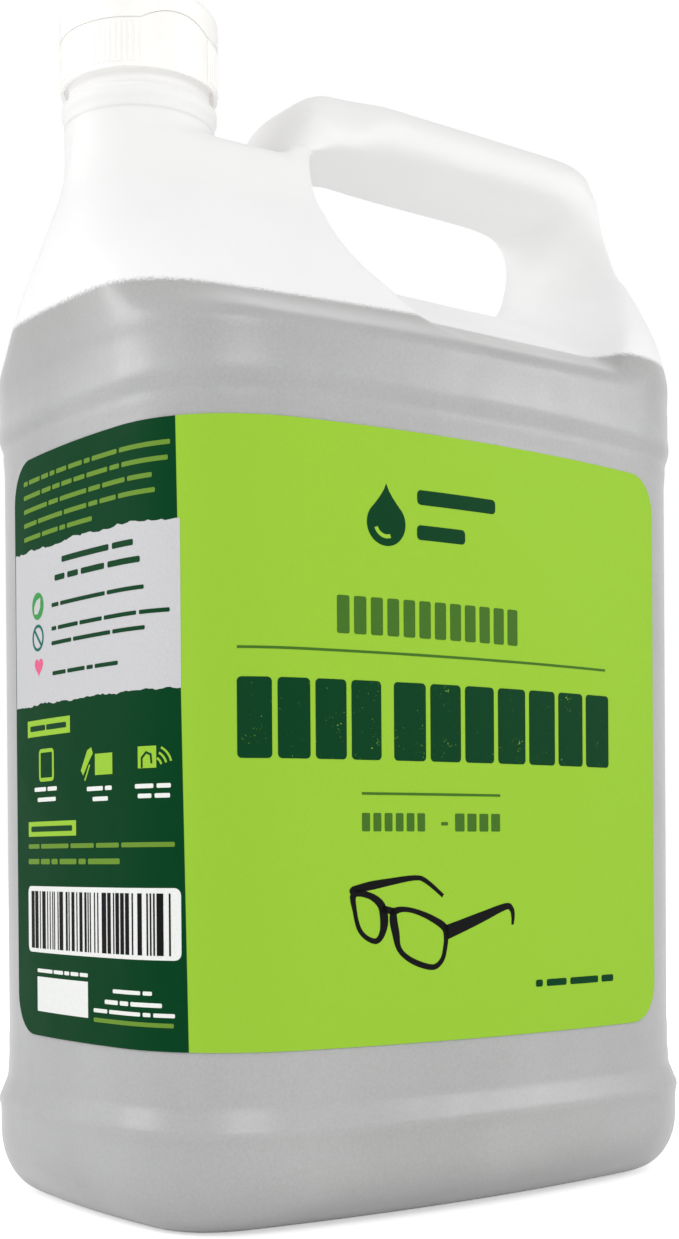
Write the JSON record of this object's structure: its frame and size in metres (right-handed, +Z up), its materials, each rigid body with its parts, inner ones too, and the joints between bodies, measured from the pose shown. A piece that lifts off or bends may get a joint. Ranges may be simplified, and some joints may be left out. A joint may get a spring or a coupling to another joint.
{
  "type": "lens cleaner jug",
  "caption": "Large handled plastic jug of lens cleaning liquid with a wrap label and a screw-on flip-top closure, for refilling small spray bottles.",
  "frame": {"origin": "centre of the jug's base, on the surface it stands on", "axes": "+Z up; -Y is the wide label face; -X is the neck end and the narrow label face; +X is the grip end"},
  "size_m": [0.1724, 0.1272, 0.2914],
  "materials": {
    "jug_plastic": "natural translucent polyethylene, satin, very fine grain",
    "liquid": "clear water-like liquid, grey through the jug wall",
    "label_film": "printed film, semi-gloss: lime front panel and dark green side panel",
    "seal_foil": "plain foil, satin",
    "wad_foam": "white foamed polyethylene, matte",
    "closure_plastic": "white polypropylene, satin"
  },
  "bodies": {
    "jug": {"jug_body": "jug_plastic", "cleaning_fluid": "liquid", "wrap_label": "label_film", "foil_seal": "seal_foil"},
    "closure_lift": {"closure_wad": "wad_foam"},
    "closure": {"closure_base": "closure_plastic", "hinge_web": "closure_plastic"},
    "lid": {"flip_lid": "closure_plastic"}
  },
  "joints": [
    {"name": "closure_rise", "type": "slide", "parent": "jug", "child": "closure_lift", "axis": [0, 0, 1], "range_m": [0, 0.02]},
    {"name": "closure_turn", "type": "hinge", "parent": "closure_lift", "child": "closure", "pos_m": [-0.0607, 0, 0.275], "axis": [0, 0, 1], "range_deg": [0, 1702]},
    {"name": "lid_flip", "type": "hinge", "parent": "closure", "child": "lid", "pos_m": [-0.0607, 0.0198, 0.2824], "axis": [-1, 0, 0], "range_deg": [0, 150], "deforming": ["hinge_web"]}
  ],
  "couplings": [
    {"joint": "closure_turn", "follows": "closure_rise", "rad_per_m": 1484.3}
  ]
}
